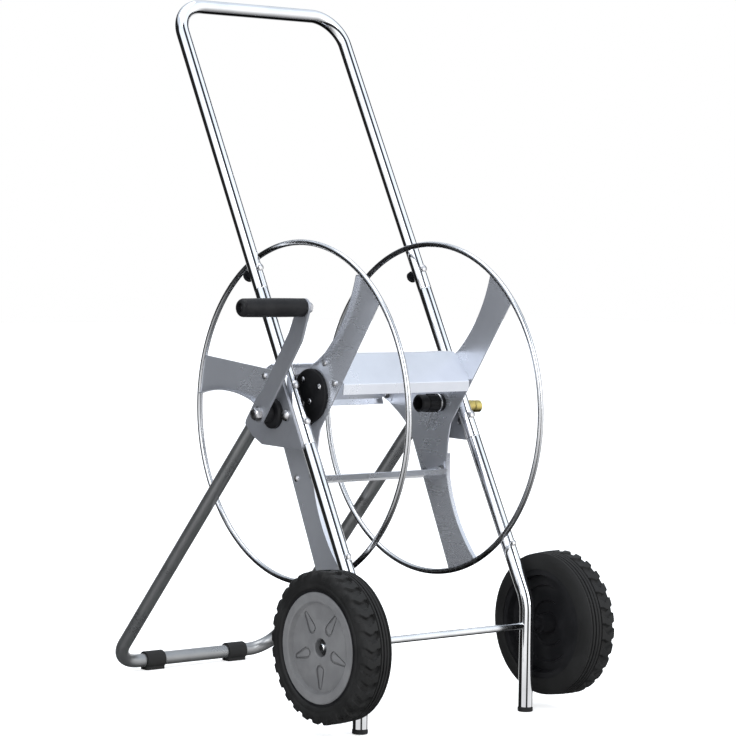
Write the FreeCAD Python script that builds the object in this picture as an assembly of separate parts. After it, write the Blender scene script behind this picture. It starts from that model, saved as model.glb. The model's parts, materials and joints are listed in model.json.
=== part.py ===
import FreeCAD, Part
import math
import os

"""Garden hose reel cart: two leaning tube frames on wheels, a rear prop and a hand-cranked reel.

Working frame while building: x across the cart (crank on the -x side, water inlet on the +x side),
y from the axle towards the handle, z up from the ground.  At the end every piece is shifted so that
the origin is the bottom centre of the whole cart's box.  All sizes are millimetres.
"""

V = FreeCAD.Vector

# Frame tubes ---------------------------------------------------------------------------------
TUBE_R = 10.0                 # outside radius of every frame tube
TUBE_WALL = 1.5
SWAGE_GAP = 0.05              # radial gap of a reduced tube end inside the next tube
FRAME_X = 147.2               # tube centre lines, either side of the middle
LEAN = math.radians(28.2)     # lean of the main tubes from the vertical
BEND_Z = 152.0                # where the leaning axis meets the upright leg
BEND_R = 60.0
HANDLE_TOP_Z = 978.0
HANDLE_CORNER_R = 48.0
HANDLE_JOINT_Z = 577.0        # lower end of the handle
LEG_JOINT_Z = 371.0           # lower end of the middle tube
HANDLE_BOLT_Z = 603.0
LEG_BOLT_Z = (399.0, 446.0)
LEG_PLUG_Z = 226.0
SWAGE_PAST_BOLT = 22.0        # reduced end beyond the last bolt, measured as height
CAP_HEIGHT = 6.0

# Fasteners: shank radii, with the same gaps in every hole and nut ------------------------------
BOLT_R = 3.0                  # frame bolts
SLAT_BOLT_R = 2.5
SHAFT_STUD_R = 5.0
HOLE_GAP = 0.1
NUT_GAP = 0.05
BOLT_HEAD_R = 5.6
FRAME_NUT = (10.0, 5.0)       # across flats, height
SLAT_NUT = (8.0, 4.0)
CRANK_NUT = (15.0, 7.5)
GRIP_NUT = (13.0, 7.5)
RIVET_HEAD = (7.5, 6.5)       # radius, height

# Rear prop -----------------------------------------------------------------------------------
PROP_TOP = (222.4, 410.4)     # y, z of the bolt through the top of each prop leg
PROP_BAR = (581.6, 14.4)      # y, z of the low cross bar
PROP_CORNER_R = 45.0
PROP_FOOT_X = 75.5
PROP_FOOT_WIDTH = 33.0
PROP_FOOT_WALL = 3.2
PROP_FOOT_TREAD = 18.0        # front to back
PROP_PAST_BOLT = 12.0         # leg above its bolt

# Wheels and axle -----------------------------------------------------------------------------
AXLE_Z = 119.0
AXLE_R = 5.0
WHEEL_R = 100.0
WHEEL_IN_X = 171.6
WHEEL_OUT_X = 222.4
TYRE_SEAT_R = 76.0
TYRE_GROOVES = (12.0, 18.5, 25.0)   # from the inner face
TYRE_GROOVE = (0.8, 1.6, 2.6)       # slope width, floor width, depth
TYRE_RIB_R = 97.0
WEB_SEAT_R = 66.0             # where web and rim band of the wheel moulding meet
HUB_BARREL = (168.3, 204.0)   # x of the barrel's ends
SPACER_R = 8.0
COVER_R = 72.7
COVER_DISH_R = 60.4
COVER_DISH = 6.4
POD_COUNT = 5
POD_START = 53.0              # angle of the first pocket in the wheel cover
POD_INNER = (30.0, 8.0)       # distance from the axle, radius of the pocket's blunt end
POD_OUTER = (51.0, 3.6)
POD_DEPTH = 2.4
POD_GROOVE = 3.2              # width of the groove round each island
COVER_BORE_R = 12.0
RUNNING_GAP = 0.05            # radial gap of every turning fit
END_GAP = 0.3                 # end gap of every turning fit

# Reel ----------------------------------------------------------------------------------------
HUB_Y = 179.3
HUB_Z = 410.4
RIM_R = 232.2                 # centre line of the rim wire
RIM_WIRE_R = 4.0
RIM_X = 116.7
STAR_T = 2.0
ARM_ANGLES = (125.0, 5.0, -115.0)
ARM_EDGE = -50.0              # offset of the straight edge of an arm
ARM_LIP = 5.0
ARM_NOTCH = 12.0              # where the straight edge ends, along the arm
ARM_NOTCH_FILLET = 7.0
ARM_TIP_ACROSS = 6.0
ARM_HOLLOW = ((70.0, 13.0), (104.0, -2.2), (163.0, -7.5))   # along and across, hub to rim
ARM_LIP_T = 1.5
ARM_LIP_START_R = 74.0
SLAT_ANGLES = (139.8, 19.8, -100.2)
SLAT_R = 97.0                 # hub axis to the outside of a slat
SLAT_HALF = 26.0
SLAT_T = 1.5
SLAT_LIPS = (9.0, 14.0)
SLAT_LIP_FOLD = math.radians(45.0)
SLAT_TAB = 18.0
SLAT_BOLT = (17.5, 88.5)      # along and out from the hub, at both ends of a slat
HUB_LOBE = (-29.0, 26.0)      # middle of the hub flange's wide lobe, y and z from the hub
HUB_LOBE_R = 35.5
HUB_FOOT_R = 27.0             # flange round the shaft
HUB_FLANGE_T = 5.0
HUB_BOSS_R = 18.0
HUB_BOSS_END_X = 147.5
HUB_SCREWS = ((-29.0, 17.0), (-50.0, 38.0), (-14.0, 46.0), (17.0, -12.0))   # y, z from the hub

# Side plates, crank and water way ------------------------------------------------------------
PLATE_X = 157.3               # inner face
PLATE_T = 2.5
PLATE_RIVET = (-29.0, -1.0)   # y, z from the hub
BUSH_R = 20.5
BUSH_BODY_R = 14.0
BUSH_FLANGE = 7.6             # stands out from the plate
BUSH_IN_X = 150.0
SHAFT_R = 8.0
CRANK_X = 182.2               # inner face of the crank arm
CRANK_T = 3.6
CRANK_KNEE = (-78.2, 108.1)   # y, z from the hub
CRANK_END = (-94.5, 146.3)
GRIP_R = 12.6
GRIP_LENGTH = 104.0
GRIP_PIN_R = 4.0
GRIP_COUNTERBORE = (6.4, 9.0)  # radius, depth
CRANK_HALF = (12.5, 14.3, 12.3)   # half widths at hub, knee and grip
CONNECTOR_AT = (-26.0, 9.0)   # hose connector axis, y and z from the hub
INLET_END_X = 212.0
NIPPLE_R = 8.75
WATER_WAY_R = 5.0
SPIGOT_R = 9.0                # swivel's spigot through the star plate
SPIGOT_GAP = 0.1
SWIVEL_SOCKET = (13.0, 148.0)     # radius, outer end
SWIVEL_OUTLET = (11.5, 13.5)      # radius, height
CONNECTOR_LENGTH = 41.5
CONNECTOR_BORE_R = 9.5
CLIP_TURN_R = 12.4
CLIP_WIRE_R = 1.1


# Helpers -------------------------------------------------------------------------------------
def cyl_x(radius, x0, x1, y, z):
    """Cylinder along x from x0 to x1 about the line (y, z)."""
    low = min(x0, x1)
    return Part.makeCylinder(radius, abs(x1 - x0), V(low, y, z), V(1, 0, 0))


def ring_x(outer, inner, x0, x1, y, z):
    """Washer or tube along x."""
    return cyl_x(outer, x0, x1, y, z).cut(cyl_x(inner, x0 - 1, x1 + 1, y, z))


def turned_x(profile, y, z):
    """Solid turned about the x line through (y, z) from (x, radius) points."""
    points = [V(x, y, z + radius) for x, radius in profile]
    face = Part.Face(Part.makePolygon(points + points[:1]))
    return face.revolve(V(0, y, z), V(1, 0, 0), 360)


def rod(start, end, radius):
    """Round bar between two points."""
    line = end - start
    return Part.makeCylinder(radius, line.Length, start, line)


def hexagon(across_flats, height, base, direction):
    """Hexagonal prism standing on base along direction, with lightly rounded ends."""
    corner_r = across_flats / math.sqrt(3)
    corners = [V(corner_r * math.cos(math.radians(60 * i)), corner_r * math.sin(math.radians(60 * i)), 0)
               for i in range(7)]
    prism = Part.Face(Part.makePolygon(corners)).extrude(V(0, 0, height))
    chamfer = 0.12 * across_flats
    cone = Part.makeCone(corner_r + height - chamfer, corner_r - chamfer, height)
    prism = prism.common(cone)
    prism.Placement = FreeCAD.Placement(base, FreeCAD.Rotation(V(0, 0, 1), direction))
    return prism


def dome(radius, height, base, direction):
    """Round head with a spherical top standing on base along direction."""
    rise = 0.5 * height
    ball_r = (radius ** 2 + rise ** 2) / (2 * rise)
    half_angle = 0.5 * math.asin(radius / ball_r)
    middle = V(ball_r * math.sin(half_angle), 0, height - ball_r + ball_r * math.cos(half_angle))
    shoulder = V(radius, 0, height - rise)
    profile = [Part.LineSegment(V(0, 0, 0), V(radius, 0, 0)).toShape(),
               Part.LineSegment(V(radius, 0, 0), shoulder).toShape(),
               Part.Arc(shoulder, middle, V(0, 0, height)).toShape(),
               Part.LineSegment(V(0, 0, height), V(0, 0, 0)).toShape()]
    solid = Part.Face(Part.Wire(profile)).revolve(V(0, 0, 0), V(0, 0, 1), 360)
    solid.Placement = FreeCAD.Placement(base, FreeCAD.Rotation(V(0, 0, 1), direction))
    return solid


def rounded_path(points, radius):
    """Wire through the points with every inner corner replaced by a tangent arc."""
    edges = []
    start = points[0]
    for before, corner, after in zip(points, points[1:], points[2:]):
        into = (corner - before).normalize()
        out = (after - corner).normalize()
        half_turn = 0.5 * into.getAngle(out)
        setback = radius * math.tan(half_turn)
        inward = (out - into).normalize()
        arc_start = corner - into * setback
        arc_end = corner + out * setback
        arc_mid = corner + inward * (radius / math.cos(half_turn) - radius)
        edges.append(Part.LineSegment(start, arc_start).toShape())
        edges.append(Part.Arc(arc_start, arc_mid, arc_end).toShape())
        start = arc_end
    edges.append(Part.LineSegment(start, points[-1]).toShape())
    return Part.Wire(edges)


def bent_rod(points, bend_radius, radius):
    """Round section carried along a rounded path."""
    path = rounded_path(points, bend_radius)
    section = Part.Wire(Part.makeCircle(radius, points[0], points[1] - points[0]))
    return path.makePipeShell([section], True, False)


def bent_tube(points, bend_radius):
    """Frame tube carried along a rounded path."""
    outer = bent_rod(points, bend_radius, TUBE_R)
    return outer.cut(bent_rod(points, bend_radius, TUBE_R - TUBE_WALL))


def plate_x(wire, thickness):
    """Flat plate from a closed wire in a plane x = const, thickened towards +x."""
    return Part.Face(wire).extrude(V(thickness, 0, 0))


def mirrored(shape):
    """The same piece for the other side of the cart."""
    return shape.mirror(V(0, 0, 0), V(1, 0, 0))


def both_sides(shape):
    """A piece and its mirror image as one group of separate solids."""
    return Part.makeCompound([shape, mirrored(shape)])


def hub_point(x, y, z):
    """Point given by y and z from the hub axis."""
    return V(x, HUB_Y + y, HUB_Z + z)


# Frame ---------------------------------------------------------------------------------------
LEAN_BACK = V(0, math.cos(LEAN), -math.sin(LEAN))


def on_lean(z, x=FRAME_X):
    """Point of a main tube's axis at height z."""
    return V(x, (z - BEND_Z) * math.tan(LEAN), z)


def lean_bolt_hole(z, x=FRAME_X):
    """Fore-and-aft hole through a main tube."""
    middle = on_lean(z, x)
    reach = LEAN_BACK * (2 * TUBE_R)
    return rod(middle - reach, middle + reach, BOLT_R + HOLE_GAP)


def handle_tube():
    """Bent U of the push handle, open ends down."""
    corners = [on_lean(HANDLE_JOINT_Z), on_lean(HANDLE_TOP_Z), on_lean(HANDLE_TOP_Z, -FRAME_X),
               on_lean(HANDLE_JOINT_Z, -FRAME_X)]
    tube = bent_tube(corners, HANDLE_CORNER_R)
    return tube.cut(lean_bolt_hole(HANDLE_BOLT_Z)).cut(lean_bolt_hole(HANDLE_BOLT_Z, -FRAME_X))


def swaged_end(z_from, z_to):
    """Reduced end of a tube, which slides up inside the next one."""
    radius = TUBE_R - TUBE_WALL - SWAGE_GAP
    sleeve = rod(on_lean(z_from - 4), on_lean(z_to), radius)
    return sleeve.cut(rod(on_lean(z_from - 5), on_lean(z_to + 5), radius - TUBE_WALL))


def middle_tube():
    """Straight tube between the handle and the leg."""
    tube = rod(on_lean(LEG_JOINT_Z), on_lean(HANDLE_JOINT_Z), TUBE_R)
    tube = tube.cut(rod(on_lean(LEG_JOINT_Z - 5), on_lean(HANDLE_JOINT_Z - 4), TUBE_R - TUBE_WALL))
    tube = tube.cut(rod(on_lean(HANDLE_JOINT_Z - 5), on_lean(HANDLE_JOINT_Z + 5), TUBE_R - 2.9))
    tube = tube.fuse(swaged_end(HANDLE_JOINT_Z, HANDLE_BOLT_Z + SWAGE_PAST_BOLT))
    for z in (HANDLE_BOLT_Z,) + LEG_BOLT_Z:
        tube = tube.cut(lean_bolt_hole(z))
    return tube.removeSplitter()


def leg_tube():
    """Lower tube with the bend to the upright leg."""
    path = [V(FRAME_X, 0, CAP_HEIGHT), V(FRAME_X, 0, BEND_Z), on_lean(LEG_JOINT_Z)]
    tube = bent_rod(path, BEND_R, TUBE_R)
    hollow = [path[0], path[1], on_lean(LEG_JOINT_Z - 4)]
    tube = tube.cut(bent_rod(hollow, BEND_R, TUBE_R - TUBE_WALL))
    tube = tube.cut(rod(on_lean(LEG_JOINT_Z - 5), on_lean(LEG_JOINT_Z + 5), TUBE_R - 2.9))
    tube = tube.fuse(swaged_end(LEG_JOINT_Z, LEG_BOLT_Z[1] + SWAGE_PAST_BOLT))
    for z in LEG_BOLT_Z:
        tube = tube.cut(lean_bolt_hole(z))
    tube = tube.cut(cyl_x(AXLE_R + 0.1, FRAME_X - 20, FRAME_X + 20, 0, AXLE_Z))
    plug = on_lean(LEG_PLUG_Z)
    tube = tube.cut(rod(plug - LEAN_BACK * (2 * TUBE_R), plug, BOLT_R + HOLE_GAP))
    return tube.removeSplitter()


def foot_cap():
    """Plug with a flat tread in the end of a leg."""
    tread = Part.makeCylinder(TUBE_R + 0.6, CAP_HEIGHT, V(FRAME_X, 0, 0))
    rim = [e for e in tread.Edges if e.BoundBox.ZLength < 1e-6]
    tread = tread.makeFillet(1.2, rim)
    plug = Part.makeCylinder(TUBE_R - TUBE_WALL - 0.05, 16, V(FRAME_X, 0, CAP_HEIGHT - 1))
    return tread.fuse(plug)


def lean_bolt(z):
    """Domed bolt from the front through a main tube."""
    middle = on_lean(z)
    head_base = middle - LEAN_BACK * TUBE_R
    shank = rod(head_base - LEAN_BACK * 0.5, middle + LEAN_BACK * (TUBE_R + 9), BOLT_R)
    return shank.fuse(dome(BOLT_HEAD_R, 4.2, head_base, LEAN_BACK * -1))


def wing_knob():
    """Hand nut behind the handle joint: a stem and a round knob."""
    base = on_lean(HANDLE_BOLT_Z) + LEAN_BACK * TUBE_R
    stem = rod(base, base + LEAN_BACK * 6, 5.0)
    knob = dome(8.0, 9.0, base + LEAN_BACK * 5, LEAN_BACK)
    bore = rod(base - LEAN_BACK, base + LEAN_BACK * 9.2, BOLT_R + NUT_GAP)
    return stem.fuse(knob).cut(bore)


def leg_nut(z):
    """Hexagon nut behind a main tube."""
    base = on_lean(z) + LEAN_BACK * TUBE_R
    bore = rod(base - LEAN_BACK, base + LEAN_BACK * 12, BOLT_R + NUT_GAP)
    return hexagon(*FRAME_NUT, base, LEAN_BACK).cut(bore)


def leg_plug():
    """Domed plug in the front of a lower tube."""
    seat = on_lean(LEG_PLUG_Z) - LEAN_BACK * TUBE_R
    return dome(4.6, 3.4, seat, LEAN_BACK * -1).fuse(rod(seat, seat + LEAN_BACK * 5, 2.9))


def prop_points():
    """Corners of the rear prop's U, from one leg top to the other."""
    top_y, top_z = PROP_TOP
    bar_y, bar_z = PROP_BAR
    slope = V(0, bar_y - top_y, bar_z - top_z).normalize()
    top = V(FRAME_X, top_y, top_z) - slope * PROP_PAST_BOLT
    bar = V(FRAME_X, bar_y, bar_z)
    return [top, bar, V(-FRAME_X, bar_y, bar_z), V(-FRAME_X, top.y, top.z)]


def rear_prop():
    """Bent U that props the cart up at the back."""
    tube = bent_tube(prop_points(), PROP_CORNER_R)
    for side in (-1, 1):
        tube = tube.cut(cyl_x(BOLT_R + HOLE_GAP, side * (FRAME_X - 15), side * (FRAME_X + 15), *PROP_TOP))
    return tube


def prop_foot(side):
    """Rubber saddle clipped on the low bar, with a flat tread."""
    bar_y, bar_z = PROP_BAR
    x0 = side * PROP_FOOT_X - 0.5 * PROP_FOOT_WIDTH
    body = cyl_x(TUBE_R + PROP_FOOT_WALL, x0, x0 + PROP_FOOT_WIDTH, bar_y, bar_z)
    ends = [e for e in body.Edges if e.BoundBox.XLength < 1e-6]
    body = body.makeFillet(1.2, ends)
    tread = Part.makeBox(PROP_FOOT_WIDTH, PROP_FOOT_TREAD, bar_z, V(x0, bar_y - 0.5 * PROP_FOOT_TREAD, 0))
    upright = [e for e in tread.Edges if e.BoundBox.ZLength > 1]
    tread = tread.makeFillet(2.5, upright)
    return body.fuse(tread).cut(cyl_x(TUBE_R, x0 - 1, x0 + PROP_FOOT_WIDTH + 1, bar_y, bar_z))


# Side plates ---------------------------------------------------------------------------------
def side_plate():
    """Sheet between main tube and prop leg that carries the reel's bearing."""
    def front(z):
        return on_lean(HUB_Z + z).y - HUB_Y
    outline = [(front(-45), -45), (-23.6, -44.6), (26.0, -43.6), (46.4, -33.7), (65.0, -18.0), (63.0, -12.0),
               (40.0, 19.0), (8.0, 46.0), (front(58), 58)]
    points = [hub_point(PLATE_X, y, z) for y, z in outline]
    plate = plate_x(Part.makePolygon(points + points[:1]), PLATE_T)
    upright = [e for e in plate.Edges if e.BoundBox.XLength > 1]
    plate = plate.makeFillet(4.0, upright)
    holes = ((BUSH_BODY_R + NUT_GAP, HUB_Y, HUB_Z), (BOLT_R + HOLE_GAP, *PROP_TOP),
             (BOLT_R + NUT_GAP, HUB_Y + PLATE_RIVET[0], HUB_Z + PLATE_RIVET[1]))
    for radius, y, z in holes:
        plate = plate.cut(cyl_x(radius, PLATE_X - 1, PLATE_X + 5, y, z))
    return plate


def plate_rivet():
    """Round-headed rivet beside the main tube."""
    outer = hub_point(PLATE_X + PLATE_T, *PLATE_RIVET)
    head = dome(*RIVET_HEAD, outer, V(1, 0, 0))
    shank = rod(outer, outer - V(PLATE_T + 0.5, 0, 0), BOLT_R)
    return head.fuse(shank).fuse(rod(outer - V(PLATE_T, 0, 0), outer - V(PLATE_T + 2, 0, 0), 4.0))


def prop_bolt():
    """Bolt along x through the side plate and the top of a prop leg."""
    y, z = PROP_TOP
    outer = V(PLATE_X + PLATE_T, y, z)
    shank = rod(outer, V(FRAME_X - TUBE_R - FRAME_NUT[1] - 2, y, z), BOLT_R)
    return shank.fuse(dome(BOLT_HEAD_R, 4.0, outer, V(1, 0, 0)))


def prop_nut():
    """Nut of the prop bolt, inside the cart."""
    y, z = PROP_TOP
    base = V(FRAME_X - TUBE_R, y, z)
    return hexagon(*FRAME_NUT, base, V(-1, 0, 0)).cut(cyl_x(BOLT_R + NUT_GAP, base.x - 12, base.x + 1, y, z))


# Wheels --------------------------------------------------------------------------------------
def tyre():
    """Tyre with grooved inner half and rounded shoulders."""
    width = WHEEL_OUT_X - WHEEL_IN_X
    slope, floor, depth = TYRE_GROOVE
    profile = [(0.0, TYRE_SEAT_R), (0.0, 88.0), (2.5, 93.5), (6.0, TYRE_RIB_R)]
    for at in TYRE_GROOVES:
        profile += [(at, TYRE_RIB_R), (at + slope, TYRE_RIB_R - depth),
                    (at + slope + floor, TYRE_RIB_R - depth), (at + 2 * slope + floor, TYRE_RIB_R)]
    profile += [(33.0, WHEEL_R), (45.0, WHEEL_R), (width - 2.0, 96.0), (width, 90.0), (width, TYRE_SEAT_R)]
    return turned_x([(WHEEL_IN_X + x, r) for x, r in profile], 0, AXLE_Z)


def wheel_band():
    """Rim band of the wheel moulding, under the tyre."""
    top = TYRE_SEAT_R - NUT_GAP
    profile = [(173.0, top), (220.6, top), (220.6, 73.2), (212.0, 70.0), (196.0, 69.0), (196.0, WEB_SEAT_R),
               (183.0, WEB_SEAT_R), (173.0, 68.0)]
    return turned_x(profile, 0, AXLE_Z)


def wheel_web():
    """Stepped web and hub barrel of the wheel moulding, inside the rim band."""
    bore = AXLE_R + RUNNING_GAP
    start, end = HUB_BARREL
    profile = [(start, bore), (start, 12.0), (176.0, 13.0), (190.0, 14.5), (190.0, 30.0), (187.0, 32.0),
               (187.0, 52.0), (183.0, 54.0), (183.0, WEB_SEAT_R), (196.0, WEB_SEAT_R), (196.0, 14.0),
               (end, 14.0), (end, bore)]
    return turned_x(profile, 0, AXLE_Z)


def pod_wire(x, shrink):
    """Teardrop outline, blunt towards the hub, before it is turned into place."""
    inner_at, inner_r = POD_INNER[0], POD_INNER[1] - shrink
    outer_at, outer_r = POD_OUTER[0], POD_OUTER[1] - 0.6 * shrink
    lean = math.asin((inner_r - outer_r) / (outer_at - inner_at))
    def place(at, radius, angle):
        return V(x, radius * math.cos(angle), AXLE_Z + at + radius * math.sin(angle))
    right_inner = place(inner_at, inner_r, lean)
    right_outer = place(outer_at, outer_r, lean)
    left_inner = place(inner_at, inner_r, math.pi - lean)
    left_outer = place(outer_at, outer_r, math.pi - lean)
    return Part.Wire([Part.LineSegment(right_inner, right_outer).toShape(),
                      Part.Arc(right_outer, place(outer_at, outer_r, math.pi / 2), left_outer).toShape(),
                      Part.LineSegment(left_outer, left_inner).toShape(),
                      Part.Arc(left_inner, place(inner_at, inner_r, -math.pi / 2), right_inner).toShape()])


def wheel_cover():
    """Dished cover disc with five teardrop pockets and a deep middle recess."""
    face = WHEEL_OUT_X - 0.4
    floor = face - COVER_DISH
    back = floor - 4.0
    collar = HUB_BARREL[1] + 0.4
    profile = [(collar, COVER_BORE_R), (floor - 1.0, COVER_BORE_R), (floor, COVER_BORE_R + 1.0), (floor, 57.5),
               (face - 0.8, COVER_DISH_R), (face, 62.5), (face, 71.5), (face - 1.2, COVER_R),
               (face - 1.8, COVER_R), (face - 8.0, 69.6), (back, 67.0), (back, COVER_BORE_R + 1.9),
               (collar, COVER_BORE_R + 1.9)]
    cover = turned_x(profile, 0, AXLE_Z)
    for i in range(POD_COUNT):
        angle = POD_START - 90.0 + 360.0 / POD_COUNT * i
        pocket = Part.Face(pod_wire(floor + 1, 0.0)).extrude(V(-1 - POD_DEPTH, 0, 0))
        island = Part.Face(pod_wire(floor - 3, POD_GROOVE)).extrude(V(2.2, 0, 0))
        pocket.rotate(V(0, 0, AXLE_Z), V(1, 0, 0), angle)
        island.rotate(V(0, 0, AXLE_Z), V(1, 0, 0), angle)
        cover = cover.cut(pocket).fuse(island)
    return cover


def axle():
    """Chromed bar through both legs and wheels."""
    bar = cyl_x(AXLE_R, -214.0, 214.0, 0, AXLE_Z)
    return bar.makeChamfer(0.8, [e for e in bar.Edges if e.BoundBox.XLength < 1e-6])


def axle_spacer():
    """Sleeve on the axle between leg and wheel."""
    return ring_x(SPACER_R, AXLE_R, FRAME_X + TUBE_R, HUB_BARREL[0] - END_GAP, 0, AXLE_Z)


def axle_push_nut():
    """Push-on retainer on the axle end, inside the cover's recess."""
    x = HUB_BARREL[1] + 0.7
    profile = [(x, AXLE_R), (x, 10.5), (x + 1.5, 10.5), (x + 2.8, 8.5), (x + 6.3, 8.0), (x + 6.3, AXLE_R)]
    return turned_x(profile, 0, AXLE_Z)


# Reel ----------------------------------------------------------------------------------------
def rim_wire():
    """Wire hoop that holds the hose on the drum."""
    return Part.makeTorus(RIM_R, RIM_WIRE_R, V(RIM_X, HUB_Y, HUB_Z), V(1, 0, 0))


def arm_point(x, angle, along, across):
    """Point of a reel arm from its own along and across measures."""
    a = math.radians(angle)
    return hub_point(x, along * math.cos(a) + across * math.sin(a), along * math.sin(a) - across * math.cos(a))


def arm_hollow_edges(x, angle, shift=0.0):
    """The two arcs of an arm's hollow edge, from the next arm's notch to the rim."""
    third = math.radians(120.0)
    start = (ARM_NOTCH * math.cos(third) - ARM_EDGE * math.sin(third),
             ARM_NOTCH * math.sin(third) + ARM_EDGE * math.cos(third))
    tip_r = RIM_R - RIM_WIRE_R
    tip = (math.sqrt(tip_r ** 2 - ARM_TIP_ACROSS ** 2), ARM_TIP_ACROSS)
    marks = [arm_point(x, angle, along, across + shift) for along, across in (start, *ARM_HOLLOW, tip)]
    return [Part.Arc(marks[0], marks[1], marks[2]).toShape(), Part.Arc(marks[2], marks[3], marks[4]).toShape()]


def star_plate():
    """Three-armed sheet on the inlet side, with a lip folded out along each hollow edge."""
    tip_r = RIM_R - RIM_WIRE_R
    x = RIM_X - 0.5 * STAR_T
    edges = []
    for angle in ARM_ANGLES:
        hollow = arm_hollow_edges(x, angle)
        tip_straight = arm_point(x, angle, math.sqrt(tip_r ** 2 - ARM_EDGE ** 2), ARM_EDGE)
        tip_hollow = hollow[1].Vertexes[-1].Point
        tip_angle = angle - math.degrees(math.atan2(ARM_TIP_ACROSS + ARM_EDGE, 2 * tip_r))
        tip_middle = arm_point(x, tip_angle, tip_r, 0)
        notch = arm_point(x, angle, ARM_NOTCH, ARM_EDGE)
        edges += [Part.LineSegment(notch, tip_straight).toShape(),
                  Part.Arc(tip_straight, tip_middle, tip_hollow).toShape(), hollow[1], hollow[0]]
    plate = plate_x(Part.Wire(Part.__sortEdges__(edges)), STAR_T)
    notches = [e for e in plate.Edges if e.BoundBox.XLength > 1 and e.BoundBox.DiagonalLength < 3
               and (e.Vertexes[0].Point - hub_point(x, 0, 0)).Length < 60]
    plate = plate.makeFillet(ARM_NOTCH_FILLET, notches)
    lips = []
    for angle in ARM_ANGLES:
        outer = arm_hollow_edges(RIM_X, angle)
        inner = arm_hollow_edges(RIM_X, angle, -ARM_LIP_T)
        for a, b in zip(outer, inner):
            a0, a1 = a.Vertexes[0].Point, a.Vertexes[-1].Point
            b0, b1 = b.Vertexes[0].Point, b.Vertexes[-1].Point
            strip = Part.Face(Part.Wire([a, Part.LineSegment(a1, b1).toShape(), b,
                                         Part.LineSegment(b0, a0).toShape()]))
            lips.append(strip.extrude(V(0.5 * STAR_T + ARM_LIP, 0, 0)))
    keep = ring_x(tip_r, ARM_LIP_START_R, RIM_X - 10, RIM_X + 20, HUB_Y, HUB_Z)
    lips = [lip.common(keep) for lip in lips]
    plate = plate.multiFuse(lips)
    for angle in SLAT_ANGLES:
        for t in (-SLAT_BOLT[0], SLAT_BOLT[0]):
            at = slat_point(0, angle, t, SLAT_BOLT[1])
            plate = plate.cut(cyl_x(SLAT_BOLT_R + HOLE_GAP, RIM_X - 5, RIM_X + 5, at.y, at.z))
    return plate


def star_plate_inlet_side():
    """Star plate with the hole for the water way."""
    y, z = CONNECTOR_AT
    return star_plate().cut(cyl_x(SPIGOT_R + SPIGOT_GAP, RIM_X - 5, RIM_X + 5, HUB_Y + y, HUB_Z + z))


def slat_point(x, angle, t, n):
    """Point of a slat from its own across and outward measures."""
    a = math.radians(angle)
    return hub_point(x, n * math.cos(a) - t * math.sin(a), n * math.sin(a) + t * math.cos(a))


def drum_slat(angle):
    """Folded sheet along the drum with two lips and an end tab on each star plate."""
    half_span = RIM_X - 0.5 * STAR_T
    lip_a, lip_b = SLAT_LIPS
    fold_c, fold_s = math.cos(SLAT_LIP_FOLD), math.sin(SLAT_LIP_FOLD)
    outer = [(-SLAT_HALF - lip_a * fold_c, SLAT_R - lip_a * fold_s), (-SLAT_HALF, SLAT_R), (SLAT_HALF, SLAT_R),
             (SLAT_HALF + lip_b * fold_c, SLAT_R - lip_b * fold_s)]
    turn = SLAT_T * math.tan(0.5 * SLAT_LIP_FOLD)
    inner = [(outer[3][0] - SLAT_T * fold_s, outer[3][1] - SLAT_T * fold_c), (SLAT_HALF - turn, SLAT_R - SLAT_T),
             (turn - SLAT_HALF, SLAT_R - SLAT_T), (outer[0][0] + SLAT_T * fold_s, outer[0][1] - SLAT_T * fold_c)]
    points = [slat_point(-half_span + 4.0, angle, t, n) for t, n in outer + inner]
    slat = plate_x(Part.makePolygon(points + points[:1]), 2 * half_span - 8.0)
    folds = []
    for e in slat.Edges:
        if e.BoundBox.XLength > 100:
            at = e.Vertexes[0].Point - hub_point(e.Vertexes[0].Point.x, 0, 0)
            if at.Length > 94.5 and abs(at.Length - math.hypot(SLAT_HALF, SLAT_R)) < 1.0:
                folds.append(e)
    slat = slat.makeFillet(2.2, folds)
    for side in (-1, 1):
        end = side * half_span
        reach = [slat_point(end, angle, t, n) for t, n in
                 ((-SLAT_HALF + 3, SLAT_R - 0.6), (SLAT_HALF - 3, SLAT_R - 0.6),
                  (SLAT_HALF - 3, SLAT_R - SLAT_TAB), (-SLAT_HALF + 3, SLAT_R - SLAT_TAB))]
        tab = Part.Face(Part.makePolygon(reach + reach[:1])).extrude(V(-side * SLAT_T, 0, 0))
        neck = [slat_point(end, angle, t, n) for t, n in
                ((-SLAT_HALF + 3, SLAT_R), (SLAT_HALF - 3, SLAT_R),
                 (SLAT_HALF - 3, SLAT_R - SLAT_T), (-SLAT_HALF + 3, SLAT_R - SLAT_T))]
        bridge = Part.Face(Part.makePolygon(neck + neck[:1])).extrude(V(-side * 4.5, 0, 0))
        slat = slat.fuse(tab).fuse(bridge)
        for t in (-SLAT_BOLT[0], SLAT_BOLT[0]):
            at = slat_point(0, angle, t, SLAT_BOLT[1])
            slat = slat.cut(cyl_x(SLAT_BOLT_R + HOLE_GAP, end - 3, end + 3, at.y, at.z))
    return slat.removeSplitter()


def slat_bolts():
    """Domed bolts through the star plates into the slats' end tabs."""
    bolts = []
    for angle in SLAT_ANGLES:
        for t in (-SLAT_BOLT[0], SLAT_BOLT[0]):
            outer = slat_point(RIM_X + 0.5 * STAR_T, angle, t, SLAT_BOLT[1])
            shank = rod(outer, outer - V(STAR_T + SLAT_T + 7, 0, 0), SLAT_BOLT_R)
            bolts.append(both_sides(shank.fuse(dome(4.6, 3.4, outer, V(1, 0, 0)))))
    return Part.makeCompound([s for pair in bolts for s in pair.Solids])


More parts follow.
